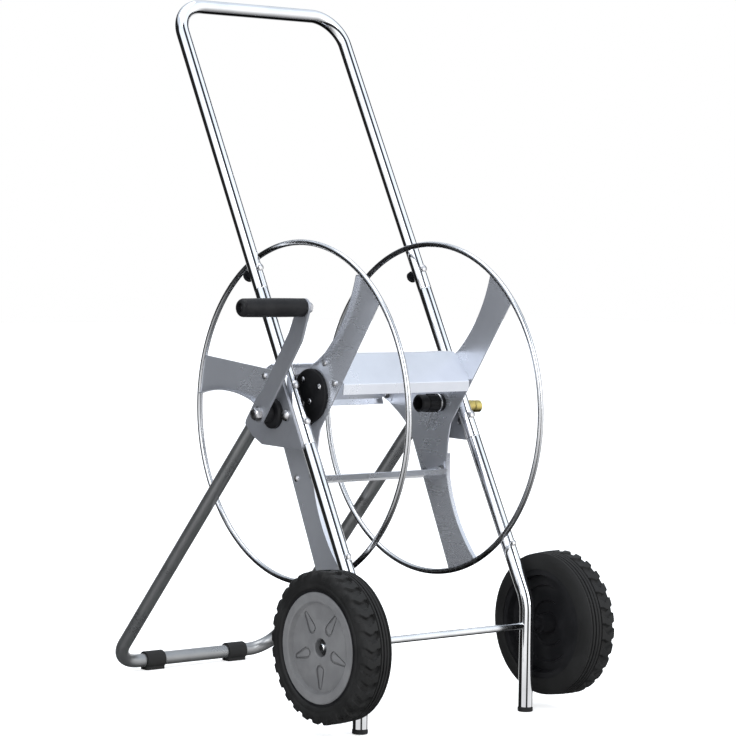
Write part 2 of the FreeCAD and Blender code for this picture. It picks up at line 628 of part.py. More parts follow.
def slat_nuts():
    """Hexagon nuts of the slat bolts."""
    nuts = []
    for angle in SLAT_ANGLES:
        for t in (-SLAT_BOLT[0], SLAT_BOLT[0]):
            base = slat_point(RIM_X - 0.5 * STAR_T - SLAT_T, angle, t, SLAT_BOLT[1])
            bore = cyl_x(SLAT_BOLT_R + NUT_GAP, base.x - 8, base.x + 1, base.y, base.z)
            nuts.append(both_sides(hexagon(*SLAT_NUT, base, V(-1, 0, 0)).cut(bore)))
    return Part.makeCompound([s for pair in nuts for s in pair.Solids])


def hub_flange():
    """Teardrop plastic flange with a boss, which joins the crank shaft to its star plate."""
    x = RIM_X + 0.5 * STAR_T
    lobe_y, lobe_z = HUB_LOBE
    reach = math.hypot(lobe_y, lobe_z)
    turn = math.atan2(lobe_z, lobe_y)
    lean = math.asin((HUB_LOBE_R - HUB_FOOT_R) / reach)
    def edge_point(along, radius, angle):
        return hub_point(x, along * math.cos(turn) + radius * math.cos(turn + angle),
                         along * math.sin(turn) + radius * math.sin(turn + angle))
    tangent = math.pi / 2 + lean
    foot_left = edge_point(0, HUB_FOOT_R, tangent)
    foot_right = edge_point(0, HUB_FOOT_R, -tangent)
    lobe_left = edge_point(reach, HUB_LOBE_R, tangent)
    lobe_right = edge_point(reach, HUB_LOBE_R, -tangent)
    wire = Part.Wire([Part.LineSegment(foot_left, lobe_left).toShape(),
                      Part.Arc(lobe_left, edge_point(reach, HUB_LOBE_R, 0), lobe_right).toShape(),
                      Part.LineSegment(lobe_right, foot_right).toShape(),
                      Part.Arc(foot_right, edge_point(0, HUB_FOOT_R, math.pi), foot_left).toShape()])
    flange = plate_x(wire, HUB_FLANGE_T)
    flange = flange.makeFillet(2.0, [e for e in flange.Edges if e.BoundBox.XMin > x + HUB_FLANGE_T - 0.1])
    boss = turned_x([(x + 1, 0), (x + 1, 22.0), (x + HUB_FLANGE_T, 22.0), (x + HUB_FLANGE_T + 5, HUB_BOSS_R),
                     (HUB_BOSS_END_X - 1.5, HUB_BOSS_R - 1), (HUB_BOSS_END_X, HUB_BOSS_R - 2.5),
                     (HUB_BOSS_END_X, 0)], HUB_Y, HUB_Z)
    body = flange.fuse(boss).cut(cyl_x(SHAFT_R, x + 2.0, HUB_BOSS_END_X + 1, HUB_Y, HUB_Z))
    for y, z in HUB_SCREWS:
        body = body.cut(cyl_x(5.0, x + 3.0, x + 12, HUB_Y + y, HUB_Z + z))
    return mirrored(body.removeSplitter())


def hub_screws():
    """Screws sunk in the hub flange."""
    screws = [dome(4.0, 3.0, hub_point(RIM_X + 0.5 * STAR_T + 3.0, y, z), V(1, 0, 0)) for y, z in HUB_SCREWS]
    return mirrored(Part.makeCompound(screws))


def crank_shaft():
    """Steel shaft from the hub flange out to the crank, stepped down for the nut."""
    shaft = cyl_x(SHAFT_R, RIM_X + 0.5 * STAR_T + 2.0, CRANK_X, HUB_Y, HUB_Z)
    stud = cyl_x(SHAFT_STUD_R, CRANK_X - 1, CRANK_X + CRANK_T + 9.5, HUB_Y, HUB_Z)
    return mirrored(shaft.fuse(stud))


def bush(bore):
    """Flanged plastic bearing pressed in a side plate."""
    x = PLATE_X + PLATE_T
    end = x + BUSH_FLANGE
    profile = [(BUSH_IN_X, bore), (BUSH_IN_X, BUSH_BODY_R), (x, BUSH_BODY_R), (x, BUSH_R), (end - 3.1, BUSH_R),
               (end - 1.0, BUSH_R - 2.4), (end, BUSH_R - 6.5), (end, bore)]
    return turned_x(profile, HUB_Y, HUB_Z)


def crank_spacer():
    """Sleeve on the shaft between bearing and crank."""
    sleeve = ring_x(11.0, SHAFT_R, PLATE_X + PLATE_T + BUSH_FLANGE + END_GAP, CRANK_X, HUB_Y, HUB_Z)
    return mirrored(sleeve)


def crank_arm():
    """Flat bar with a knee near the grip."""
    knee = V(0, *CRANK_KNEE)
    end = V(0, *CRANK_END)
    lower = V(0, *CRANK_KNEE).normalize()
    upper = (end - knee).normalize()
    def side(direction):
        return V(0, -direction.z, direction.y)
    middle = (side(lower) + side(upper)).normalize()
    def point(base, shift):
        at = base + shift
        return hub_point(CRANK_X, at.y, at.z)
    hub_half, half, tip_half = CRANK_HALF
    left = [point(V(0, 0, 0), side(lower) * hub_half), point(knee, middle * half), point(end, side(upper) * tip_half)]
    right = [point(V(0, 0, 0), side(lower) * -hub_half), point(knee, middle * -half),
             point(end, side(upper) * -tip_half)]
    foot = point(V(0, 0, 0), lower * -hub_half)
    tip = point(end, upper * tip_half)
    wire = Part.Wire([Part.LineSegment(left[0], left[1]).toShape(), Part.LineSegment(left[1], left[2]).toShape(),
                      Part.Arc(left[2], tip, right[2]).toShape(), Part.LineSegment(right[2], right[1]).toShape(),
                      Part.LineSegment(right[1], right[0]).toShape(), Part.Arc(right[0], foot, left[0]).toShape()])
    bar = plate_x(wire, CRANK_T)
    bar = bar.cut(cyl_x(SHAFT_STUD_R + NUT_GAP, CRANK_X - 1, CRANK_X + 6, HUB_Y, HUB_Z))
    grip_y, grip_z = CRANK_END
    bar = bar.cut(cyl_x(GRIP_PIN_R + NUT_GAP, CRANK_X - 1, CRANK_X + 6, HUB_Y + grip_y, HUB_Z + grip_z))
    long_edges = [e for e in bar.Edges if e.BoundBox.XLength < 1e-6 and e.Length > 80]
    return mirrored(bar.makeFillet(0.6, long_edges))


def crank_nut():
    """Washer-faced nut that holds the crank on the shaft."""
    base = hub_point(-(CRANK_X + CRANK_T), 0, 0)
    bore = SHAFT_STUD_R + NUT_GAP
    washer = ring_x(10.0, bore, base.x - 1.2, base.x, HUB_Y, HUB_Z)
    nut = hexagon(*CRANK_NUT, base - V(1.2, 0, 0), V(-1, 0, 0))
    return washer.fuse(nut.cut(cyl_x(bore, base.x - 12, base.x, HUB_Y, HUB_Z)))


def crank_grip():
    """Plastic handgrip, slightly barrelled, free to turn on its pin."""
    y, z = HUB_Y + CRANK_END[0], HUB_Z + CRANK_END[1]
    x0 = CRANK_X + CRANK_T + END_GAP
    x1 = x0 + GRIP_LENGTH
    bore = GRIP_PIN_R + RUNNING_GAP
    sunk_r, sunk = GRIP_COUNTERBORE
    outline = [Part.LineSegment(V(x0, y, z + bore), V(x0, y, z + GRIP_R - 2.2)).toShape(),
               Part.Arc(V(x0, y, z + GRIP_R - 2.2), V(x0 + 0.6, y, z + GRIP_R - 0.9),
                        V(x0 + 2.2, y, z + GRIP_R - 0.4)).toShape(),
               Part.Arc(V(x0 + 2.2, y, z + GRIP_R - 0.4), V(0.5 * (x0 + x1), y, z + GRIP_R),
                        V(x1 - 7.0, y, z + GRIP_R - 0.4)).toShape(),
               Part.Arc(V(x1 - 7.0, y, z + GRIP_R - 0.4), V(x1 - 1.6, y, z + GRIP_R - 2.6),
                        V(x1, y, z + GRIP_R - 5.0)).toShape(),
               Part.LineSegment(V(x1, y, z + GRIP_R - 5.0), V(x1, y, z + sunk_r)).toShape(),
               Part.LineSegment(V(x1, y, z + sunk_r), V(x1 - sunk, y, z + sunk_r)).toShape(),
               Part.LineSegment(V(x1 - sunk, y, z + sunk_r), V(x1 - sunk, y, z + bore)).toShape(),
               Part.LineSegment(V(x1 - sunk, y, z + bore), V(x0, y, z + bore)).toShape()]
    return mirrored(Part.Face(Part.Wire(outline)).revolve(V(0, y, z), V(1, 0, 0), 360))


def grip_pin():
    """Bolt through grip and crank arm, its head sunk in the grip's end."""
    y, z = HUB_Y + CRANK_END[0], HUB_Z + CRANK_END[1]
    x1 = CRANK_X + CRANK_T + END_GAP + GRIP_LENGTH
    head_base = V(x1 - GRIP_COUNTERBORE[1] + END_GAP, y, z)
    head = dome(6.0, 4.5, head_base, V(1, 0, 0))
    return mirrored(head.fuse(rod(V(CRANK_X - 10.5, y, z), head_base + V(0.5, 0, 0), GRIP_PIN_R)))


def grip_nut():
    """Tall nut of the grip pin, inside the crank arm."""
    y, z = HUB_Y + CRANK_END[0], HUB_Z + CRANK_END[1]
    base = V(CRANK_X, y, z)
    bore = GRIP_PIN_R + NUT_GAP
    washer = ring_x(8.4, bore, CRANK_X - 1.5, CRANK_X, y, z)
    nut = hexagon(*GRIP_NUT, base - V(1.5, 0, 0), V(-1, 0, 0))
    return mirrored(washer.fuse(nut.cut(cyl_x(bore, CRANK_X - 20, CRANK_X, y, z))))


# Water way -----------------------------------------------------------------------------------
def inlet_stem():
    """Brass inlet: spigot in the swivel, collar on the bearing and a grooved nipple outside."""
    x = PLATE_X + PLATE_T + BUSH_FLANGE
    end = INLET_END_X
    profile = [(128.0, WATER_WAY_R), (128.0, SHAFT_R - 0.6), (129.0, SHAFT_R), (x, SHAFT_R), (x, 12.0),
               (x + 3.0, 12.0), (x + 5.0, 9.6), (186.0, 9.6), (188.0, 9.2), (195.0, 9.2), (196.0, 7.0),
               (199.0, 7.0), (end - 11.5, NIPPLE_R), (end - 1.5, NIPPLE_R), (end, 7.2), (end, WATER_WAY_R)]
    return turned_x(profile, HUB_Y, HUB_Z)


def water_swivel():
    """Elbow body behind the star plate that turns round the inlet spigot and feeds the connector."""
    y, z = CONNECTOR_AT
    x = RIM_X + 0.5 * STAR_T
    reach = math.hypot(y, z)
    socket_r, socket_end = SWIVEL_SOCKET
    outlet_r, height = SWIVEL_OUTLET
    socket = cyl_x(socket_r, x, socket_end, HUB_Y, HUB_Z)
    socket = socket.makeFillet(1.0, [e for e in socket.Edges if e.BoundBox.XMin > socket_end - 0.1])
    outlet = cyl_x(outlet_r, x, x + height, HUB_Y + y, HUB_Z + z)
    outlet = outlet.makeFillet(2.0, [e for e in outlet.Edges if e.BoundBox.XMin > x + height - 0.1])
    link = Part.makeBox(height - 1.0, reach, 18.0, V(x, 0, -9.0))
    link.rotate(V(0, 0, 0), V(1, 0, 0), math.degrees(math.atan2(z, y)))
    link.translate(V(0, HUB_Y, HUB_Z))
    spigot = cyl_x(SPIGOT_R, x - 12.0, x + 1, HUB_Y + y, HUB_Z + z)
    body = socket.multiFuse([outlet, link, spigot])
    body = body.cut(cyl_x(SHAFT_R + RUNNING_GAP, 127.5, socket_end + 2, HUB_Y, HUB_Z))
    body = body.cut(cyl_x(WATER_WAY_R, x - 13.0, x + 10.0, HUB_Y + y, HUB_Z + z))
    way = Part.makeCylinder(3.5, reach, V(x + 6.0, HUB_Y, HUB_Z), V(0, y, z))
    entry = cyl_x(WATER_WAY_R, x + 1.5, 128.0, HUB_Y, HUB_Z)
    return body.cut(way).cut(entry)


def hose_connector():
    """Ribbed quick connector inside the drum that takes the hose's end."""
    y, z = CONNECTOR_AT
    x = RIM_X - 0.5 * STAR_T
    end = x - CONNECTOR_LENGTH
    socket = SPIGOT_R + SPIGOT_GAP
    profile = [(x, socket), (x, 12.2), (x - 6.0, 12.2), (x - 6.6, 11.2), (x - 8.4, 11.2), (x - 9.0, 12.0),
               (x - 27.0, 12.0), (x - 27.6, 11.0), (x - 29.0, 11.0), (x - 29.6, 12.4), (end + 1.5, 12.4),
               (end, 11.2), (end, CONNECTOR_BORE_R), (x - 19.0, CONNECTOR_BORE_R), (x - 19.0, WATER_WAY_R),
               (x - 13.0, WATER_WAY_R), (x - 13.0, socket)]
    body = turned_x(profile, HUB_Y + y, HUB_Z + z)
    ribs = []
    for i in range(10):
        rib = Part.makeBox(16.0, 2.4, 1.4, V(x - 26.5, HUB_Y + y - 1.2, HUB_Z + z + 11.6))
        rib.rotate(V(0, HUB_Y + y, HUB_Z + z), V(1, 0, 0), 36.0 * i)
        ribs.append(rib)
    return body.multiFuse(ribs)


def connector_clip():
    """Spring wire: one turn in the connector's groove and a tail hooked down the star plate."""
    y, z = CONNECTOR_AT
    x = RIM_X - 0.5 * STAR_T - 7.5
    centre = hub_point(x, y, z)
    down = math.radians(-60)
    start = centre + V(0, CLIP_TURN_R * math.cos(down), CLIP_TURN_R * math.sin(down))
    loop = Part.makeTorus(CLIP_TURN_R, CLIP_WIRE_R, centre, V(1, 0, 0))
    foot = hub_point(x, -5.0, -31.0)
    tail = bent_rod([start, foot, foot + V(6.0, 3.0, 0)], 2.5, CLIP_WIRE_R)
    groove = cyl_x(11.25, x - 3, x + 3, centre.y, centre.z)
    return loop.fuse(tail).cut(groove)


# Assembly ------------------------------------------------------------------------------------
def build():
    """Every piece of the cart by name, in the working frame."""
    pieces = {
        "handle_tube": handle_tube(),
        "middle_tube_inlet_side": middle_tube(),
        "middle_tube_crank_side": mirrored(middle_tube()),
        "leg_tube_inlet_side": leg_tube(),
        "leg_tube_crank_side": mirrored(leg_tube()),
        "foot_cap_inlet_side": foot_cap(),
        "foot_cap_crank_side": mirrored(foot_cap()),
        "handle_bolts": both_sides(lean_bolt(HANDLE_BOLT_Z)),
        "handle_wing_knobs": both_sides(wing_knob()),
        "leg_bolts": Part.makeCompound([s for z in LEG_BOLT_Z for s in both_sides(lean_bolt(z)).Solids]),
        "leg_nuts": Part.makeCompound([s for z in LEG_BOLT_Z for s in both_sides(leg_nut(z)).Solids]),
        "leg_plugs": both_sides(leg_plug()),
        "rear_prop_tube": rear_prop(),
        "rear_foot_inlet_side": prop_foot(1),
        "rear_foot_crank_side": prop_foot(-1),
        "side_plate_inlet_side": side_plate(),
        "side_plate_crank_side": mirrored(side_plate()),
        "plate_rivets": both_sides(plate_rivet()),
        "prop_bolts": both_sides(prop_bolt()),
        "prop_nuts": both_sides(prop_nut()),
        "axle": axle(),
        "axle_spacers": both_sides(axle_spacer()),
        "axle_push_nuts": both_sides(axle_push_nut()),
        "tyre_inlet_side": tyre(),
        "tyre_crank_side": mirrored(tyre()),
        "wheel_band_inlet_side": wheel_band(),
        "wheel_band_crank_side": mirrored(wheel_band()),
        "wheel_web_inlet_side": wheel_web(),
        "wheel_web_crank_side": mirrored(wheel_web()),
        "wheel_cover_inlet_side": wheel_cover(),
        "wheel_cover_crank_side": mirrored(wheel_cover()),
        "crank_bearing": mirrored(bush(SHAFT_R + RUNNING_GAP)),
        "inlet_bearing": bush(SHAFT_R),
        "inlet_stem": inlet_stem(),
        "rim_wire_inlet_side": rim_wire(),
        "rim_wire_crank_side": mirrored(rim_wire()),
        "star_plate_inlet_side": star_plate_inlet_side(),
        "star_plate_crank_side": mirrored(star_plate()),
        "slat_bolts": slat_bolts(),
        "slat_nuts": slat_nuts(),
        "hub_flange": hub_flange(),
        "hub_screws": hub_screws(),
        "crank_shaft": crank_shaft(),
        "crank_spacer": crank_spacer(),
        "crank_arm": crank_arm(),
        "crank_nut": crank_nut(),
        "crank_grip": crank_grip(),
        "grip_pin": grip_pin(),
        "grip_nut": grip_nut(),
        "water_swivel": water_swivel(),
        "hose_connector": hose_connector(),
        "connector_clip": connector_clip(),
    }
    for name, angle in zip(("drum_slat_front", "drum_slat_rear", "drum_slat_lower"), SLAT_ANGLES):
        pieces[name] = drum_slat(angle)
    return pieces


GRIP_END_X = CRANK_X + CRANK_T + END_GAP + GRIP_LENGTH
REAR_END_Y = PROP_BAR[0] + TUBE_R + PROP_FOOT_WALL
ORIGIN_SHIFT = V(0.5 * (GRIP_END_X - WHEEL_OUT_X), -0.5 * (REAR_END_Y - WHEEL_R), 0)


def main():
    """Write one STEP file for each piece."""
    os.makedirs("parts", exist_ok=True)
    for name, shape in build().items():
        shape = shape.copy()
        shape.translate(ORIGIN_SHIFT)
        shape.exportStep(os.path.join("parts", name + ".step"))


main()
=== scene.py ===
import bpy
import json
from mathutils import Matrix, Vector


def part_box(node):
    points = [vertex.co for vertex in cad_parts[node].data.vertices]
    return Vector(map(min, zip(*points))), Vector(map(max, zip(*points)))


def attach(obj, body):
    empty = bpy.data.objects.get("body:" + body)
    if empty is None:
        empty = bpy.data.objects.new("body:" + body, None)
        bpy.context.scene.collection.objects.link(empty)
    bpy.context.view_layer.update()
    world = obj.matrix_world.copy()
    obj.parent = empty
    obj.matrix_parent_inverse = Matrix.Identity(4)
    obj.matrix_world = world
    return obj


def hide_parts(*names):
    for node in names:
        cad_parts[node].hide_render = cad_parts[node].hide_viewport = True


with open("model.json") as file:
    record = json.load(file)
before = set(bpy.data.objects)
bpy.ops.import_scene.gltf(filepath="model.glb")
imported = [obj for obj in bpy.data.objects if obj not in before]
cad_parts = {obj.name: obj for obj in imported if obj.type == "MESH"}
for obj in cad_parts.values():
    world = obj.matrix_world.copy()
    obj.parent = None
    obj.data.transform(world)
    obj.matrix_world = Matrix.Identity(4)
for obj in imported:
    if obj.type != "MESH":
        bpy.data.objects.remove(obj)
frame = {"nodes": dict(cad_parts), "record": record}

# The imported pieces keep their places and get finishes.  Tubes, rims and tyres are made again, and weld
# beads added, as smooth surfaces worked out with numpy, in metres, in the frame of the imported model: x
# across the cart (crank at low x, water inlet at high x), y towards the handle, z up.
"""Finishes, fine parts and studio of a garden hose reel cart.

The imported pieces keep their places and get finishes.  Tubes, rims, tyres and small fittings are
made again as smooth surfaces worked out with numpy, in metres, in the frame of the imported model:
x across the cart (crank at low x, water inlet at high x), y towards the handle, z up.
"""

import json
import logging
import math
from dataclasses import dataclass, field
from enum import Enum
from typing import Iterable, Sequence

import bpy
import numpy as np
from mathutils import Matrix, Vector

LOG = logging.getLogger("reel_cart")
MM = 0.001
Array = np.ndarray
LIP_STEPS = 5        # points over a tube's rounded lip


# ------------------------------------------------------------------ shader arithmetic
class Socket:
    """A shader output that takes Python arithmetic; every operator adds one Math node."""

    def __init__(self, graph: "Graph", link: bpy.types.NodeSocket) -> None:
        """Wrap link, an output of a node in graph."""
        self.graph = graph
        self.link = link

    def _math(self, operation: str, first: object, second: object = None) -> "Socket":
        """Add one Math node.

        Args:
            operation: the Math node's operation.
            first: first value, a Socket or a number.
            second: second value, where the operation has one.

        Returns:
            The node's value.
        """
        values = {i: v for i, v in enumerate((first, second)) if v is not None}
        return self.graph.node("ShaderNodeMath", {"operation": operation}, values)

    def __add__(self, other: object) -> "Socket":
        """Sum."""
        return self._math("ADD", self, other)

    __radd__ = __add__

    def __mul__(self, other: object) -> "Socket":
        """Product."""
        return self._math("MULTIPLY", self, other)

    __rmul__ = __mul__

    def __sub__(self, other: object) -> "Socket":
        """Difference."""
        return self._math("SUBTRACT", self, other)

    def __rsub__(self, other: object) -> "Socket":
        """Difference with a number on the left."""
        return self._math("SUBTRACT", other, self)

    def ramp(self, low: float, high: float) -> "Socket":
        """Smooth step from 0 at low to 1 at high, held outside."""
        settings = {"interpolation_type": "SMOOTHSTEP", "clamp": True}
        inputs = {"Value": self, "From Min": low, "From Max": high}
        return self.graph.node("ShaderNodeMapRange", settings, inputs)

    def sine(self) -> "Socket":
        """Sine of the value."""
        return self._math("SINE", self)

    def magnitude(self) -> "Socket":
        """Value without its sign."""
        return self._math("ABSOLUTE", self)


class Graph:
    """Node tree of one material, with one method that makes any node."""

    def __init__(self, tree: bpy.types.NodeTree) -> None:
        """Start from tree, emptied."""
        self.tree = tree
        tree.nodes.clear()

    def node(self, kind: str, settings: dict, inputs: dict, output: int | str = 0) -> Socket:
        """Add a node.

        Args:
            kind: the node's type.
            settings: properties set before the sockets.
            inputs: values or links by socket name or number.
            output: which output to hand back.

        Returns:
            That output as a Socket.
        """
        made = self.tree.nodes.new(kind)
        for key, value in settings.items():
            setattr(made, key, value)
        for key, value in inputs.items():
            if isinstance(value, Socket):
                self.tree.links.new(value.link, made.inputs[key])
            else:
                made.inputs[key].default_value = value
        return Socket(self, made.outputs[output]) if len(made.outputs) else Socket(self, None)

    def place(self, scale: Sequence[float] = (1, 1, 1)) -> Socket:
        """Object coordinates in metres, stretched."""
        here = self.node("ShaderNodeTexCoord", {}, {}, "Object")
        return self.node("ShaderNodeMapping", {}, {"Vector": here, "Scale": tuple(scale)})

    def axes(self, kind: str = "Object") -> tuple[Socket, ...]:
        """The three coordinates of one kind as numbers."""
        here = self.node("ShaderNodeTexCoord", {}, {}, kind)
        split = self.node("ShaderNodeSeparateXYZ", {}, {"Vector": here})
        return tuple(Socket(self, output) for output in split.link.node.outputs)

    def noise(self, where: Socket, scale: float, detail: float = 3.0, roughness: float = 0.55) -> Socket:
        """Noise from 0 to 1 about 0.5."""
        inputs = {"Vector": where, "Scale": scale, "Detail": detail, "Roughness": roughness}
        return self.node("ShaderNodeTexNoise", {}, inputs)

    def blend(self, share: Socket, first: Sequence[float], second: Sequence[float]) -> Socket:
        """Colour between first and second."""
        inputs = {0: share, 6: (*first, 1.0), 7: (*second, 1.0)}
        return self.node("ShaderNodeMix", {"data_type": "RGBA"}, inputs, 2)

    def bump(self, height: Socket, depth: float) -> Socket:
        """Normal from a height of 0 to 1 that stands depth metres."""
        return self.node("ShaderNodeBump", {}, {"Height": height, "Distance": depth, "Strength": 1.0})


# ------------------------------------------------------------------ finishes
class Grain(Enum):
    """How a finish varies over its surface."""

    PLATED = "plated"
    BRUSHED = "brushed"
    POWDER = "powder"
    MOULDED = "moulded"
    RUBBER = "rubber"
    TURNED = "turned"
    ZINC = "zinc"


@dataclass(frozen=True)
class Finish:
    """One finish: its colours, gloss and the grain that breaks them up."""

    slot: str
    colour: tuple[float, float, float]
    second: tuple[float, float, float]
    metallic: float
    roughness: float
    spread: float
    grain: Grain
    specular: float = 0.5

    def material(self) -> bpy.types.Material:
        """Build the node material.

        Returns:
            A material named after the slot.
        """
        made = bpy.data.materials.new(self.slot)
        made.use_nodes = True
        graph = Graph(made.node_tree)
        colour, roughness, normal = getattr(self, "_" + self.grain.value)(graph)
        inputs = {"Base Color": colour, "Roughness": roughness, "Metallic": self.metallic,
                  "Specular IOR Level": self.specular, "Normal": normal}
        shader = graph.node("ShaderNodeBsdfPrincipled", {}, inputs)
        graph.node("ShaderNodeOutputMaterial", {}, {"Surface": shader})
        return made

    def _smear(self, graph: Graph, scale: float) -> Socket:
        """Soft cloudy patches from 0 to 1, as hands and weather leave."""
        cloud = graph.noise(graph.place(), scale, 4.0, 0.6)
        return cloud.ramp(0.38, 0.66)

    def _plated(self, graph: Graph) -> tuple:
        """Polished plate: faint smears, fine scuffs and a very slight ripple."""
        smear = self._smear(graph, 26.0)
        scuff = graph.noise(graph.place((900, 900, 260)), 1.0, 2.0).ramp(0.60, 0.72)
        ripple = graph.noise(graph.place(), 60.0, 1.0)
        colour = graph.blend(smear * 0.5 + scuff * 0.3, self.colour, self.second)
        return colour, smear * self.spread + scuff * 0.05 + self.roughness, graph.bump(ripple, 0.00004)

    def _brushed(self, graph: Graph) -> tuple:
        """Rolled sheet: hair lines one way, and broad soft clouds."""
        lines = graph.noise(graph.place((320, 9, 320)), 1.0, 2.0, 0.5)
        cloud = self._smear(graph, 9.0)
        colour = graph.blend(cloud * 0.7 + lines * 0.2, self.colour, self.second)
        roughness = lines * self.spread + cloud * 0.03 + self.roughness
        return colour, roughness, graph.bump(lines, 0.000004)

    def _powder(self, graph: Graph) -> tuple:
        """Sprayed coat: fine orange peel, dusty patches and a few darker rubs."""
        peel = graph.noise(graph.place(), 900.0, 2.0)
        dust = self._smear(graph, 18.0)
        rub = graph.noise(graph.place((40, 40, 9)), 6.0, 5.0).ramp(0.62, 0.70)
        colour = graph.blend(dust * 0.7 + rub * 0.3, self.colour, self.second)
        return colour, peel * self.spread + dust * 0.06 + self.roughness, graph.bump(peel, 0.00006)

    def _moulded(self, graph: Graph) -> tuple:
        """Moulded plastic: spark-eroded grain and slight wear that pales it."""
        cells = graph.node("ShaderNodeTexVoronoi", {}, {"Vector": graph.place(), "Scale": 1600.0})
        wear = self._smear(graph, 34.0)
        colour = graph.blend(wear * 0.6 + cells * 0.25, self.colour, self.second)
        return colour, cells * self.spread + wear * 0.08 + self.roughness, graph.bump(cells, 0.00007)

    def _rubber(self, graph: Graph) -> tuple:
        """Rubber: matt grain with pale dust that gathers in patches."""
        grain = graph.noise(graph.place(), 700.0, 4.0, 0.65)
        dust = self._smear(graph, 20.0)
        colour = graph.blend(dust * 0.55 + grain * 0.3, self.colour, self.second)
        return colour, grain * self.spread + dust * 0.1 + self.roughness, graph.bump(grain, 0.00015)

    def _turned(self, graph: Graph) -> tuple:
        """Lathe-turned metal: fine rings along x and a thin tarnish."""
        x, _, _ = graph.axes()
        rings = (x * 14000.0).sine() * 0.5 + 0.5
        tarnish = self._smear(graph, 60.0)
        colour = graph.blend(tarnish, self.colour, self.second)
        return colour, tarnish * self.spread + self.roughness, graph.bump(rings, 0.00002)

    def _zinc(self, graph: Graph) -> tuple:
        """Plated fasteners: small crystals and a dull bloom."""
        cells = graph.node("ShaderNodeTexVoronoi", {}, {"Vector": graph.place(), "Scale": 420.0})
        bloom = self._smear(graph, 90.0)
        colour = graph.blend(bloom * 0.6 + cells * 0.4, self.colour, self.second)
        return colour, bloom * self.spread + self.roughness, graph.bump(cells, 0.00002)


FINISHES = (
    Finish("chrome_tube", (0.80, 0.81, 0.83), (0.66, 0.67, 0.69), 1.0, 0.05, 0.04, Grain.PLATED),
    Finish("chrome_rod", (0.80, 0.81, 0.83), (0.62, 0.63, 0.65), 1.0, 0.07, 0.06, Grain.PLATED),
    Finish("rim_wire", (0.62, 0.63, 0.65), (0.45, 0.46, 0.48), 1.0, 0.20, 0.10, Grain.PLATED),
    Finish("reel_sheet", (0.62, 0.64, 0.69), (0.56, 0.58, 0.63), 0.76, 0.26, 0.02, Grain.BRUSHED),
    Finish("grey_tube", (0.26, 0.265, 0.27), (0.31, 0.315, 0.32), 0.85, 0.24, 0.06, Grain.POWDER),
    Finish("grey_sheet", (0.33, 0.34, 0.37), (0.28, 0.29, 0.32), 0.70, 0.32, 0.10, Grain.POWDER),
    Finish("zinc_fastener", (0.66, 0.66, 0.67), (0.45, 0.45, 0.47), 1.0, 0.22, 0.20, Grain.ZINC),
    Finish("black_fastener", (0.11, 0.11, 0.115), (0.16, 0.16, 0.165), 0.9, 0.30, 0.15, Grain.ZINC),
    Finish("brass", (0.60, 0.50, 0.17), (0.46, 0.37, 0.13), 1.0, 0.18, 0.20, Grain.TURNED),
    Finish("black_plastic", (0.006, 0.006, 0.007), (0.014, 0.014, 0.015),
           0.0, 0.34, 0.12, Grain.MOULDED, specular=0.15),
    Finish("grey_plastic", (0.105, 0.105, 0.108), (0.140, 0.140, 0.142), 0.0, 0.45, 0.12, Grain.MOULDED),
    Finish("tyre_rubber", (0.005, 0.005, 0.005), (0.013, 0.013, 0.013),
           0.0, 0.55, 0.16, Grain.RUBBER, specular=0.3),
    Finish("foot_rubber", (0.006, 0.006, 0.006), (0.014, 0.014, 0.014),
           0.0, 0.55, 0.15, Grain.RUBBER, specular=0.3),
)


class Palette:
    """The finishes of the record's slots, ready to put on nodes and pieces."""

    def __init__(self, finishes: Iterable[Finish]) -> None:
        """Build every material once."""
        self.materials = {finish.slot: finish.material() for finish in finishes}

    def dress_nodes(self, nodes: dict, subparts: Sequence[dict]) -> None:
        """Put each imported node's finish on it.

        Args:
            nodes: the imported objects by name.
            subparts: the record's list of node and slot.
        """
        for entry in subparts:
            mesh = nodes[entry["node"]].data
            mesh.materials.clear()
            mesh.materials.append(self.materials[entry["material_slot"]])

    def dress_piece(self, piece: bpy.types.Object, slot: str) -> None:
        """Put one finish on a new piece."""
        piece.data.materials.append(self.materials[slot])


# ------------------------------------------------------------------ surfaces
def quads(rows: int, columns: int, wrap_rows: bool, wrap_columns: bool) -> Array:
    """Corner numbers of the faces between neighbouring points of a rows by columns grid."""
    r = np.arange(rows if wrap_rows else rows - 1)
    c = np.arange(columns if wrap_columns else columns - 1)
    r0, c0 = np.meshgrid(r, c, indexing="ij")
    r1, c1 = (r0 + 1) % rows, (c0 + 1) % columns
    corners = [r0 * columns + c0, r0 * columns + c1, r1 * columns + c1, r1 * columns + c0]
    return np.stack(corners, axis=-1).reshape(-1, 4)


def signed_volume(points: Array, faces: Array) -> float:
    """Volume inside a closed quad mesh, negative if it is inside out."""
    a, b, c, d = (points[faces[:, i]] for i in range(4))
    first = np.einsum("ij,ij->i", a, np.cross(b, c))
    second = np.einsum("ij,ij->i", a, np.cross(c, d))
    return float((first + second).sum() / 6.0)


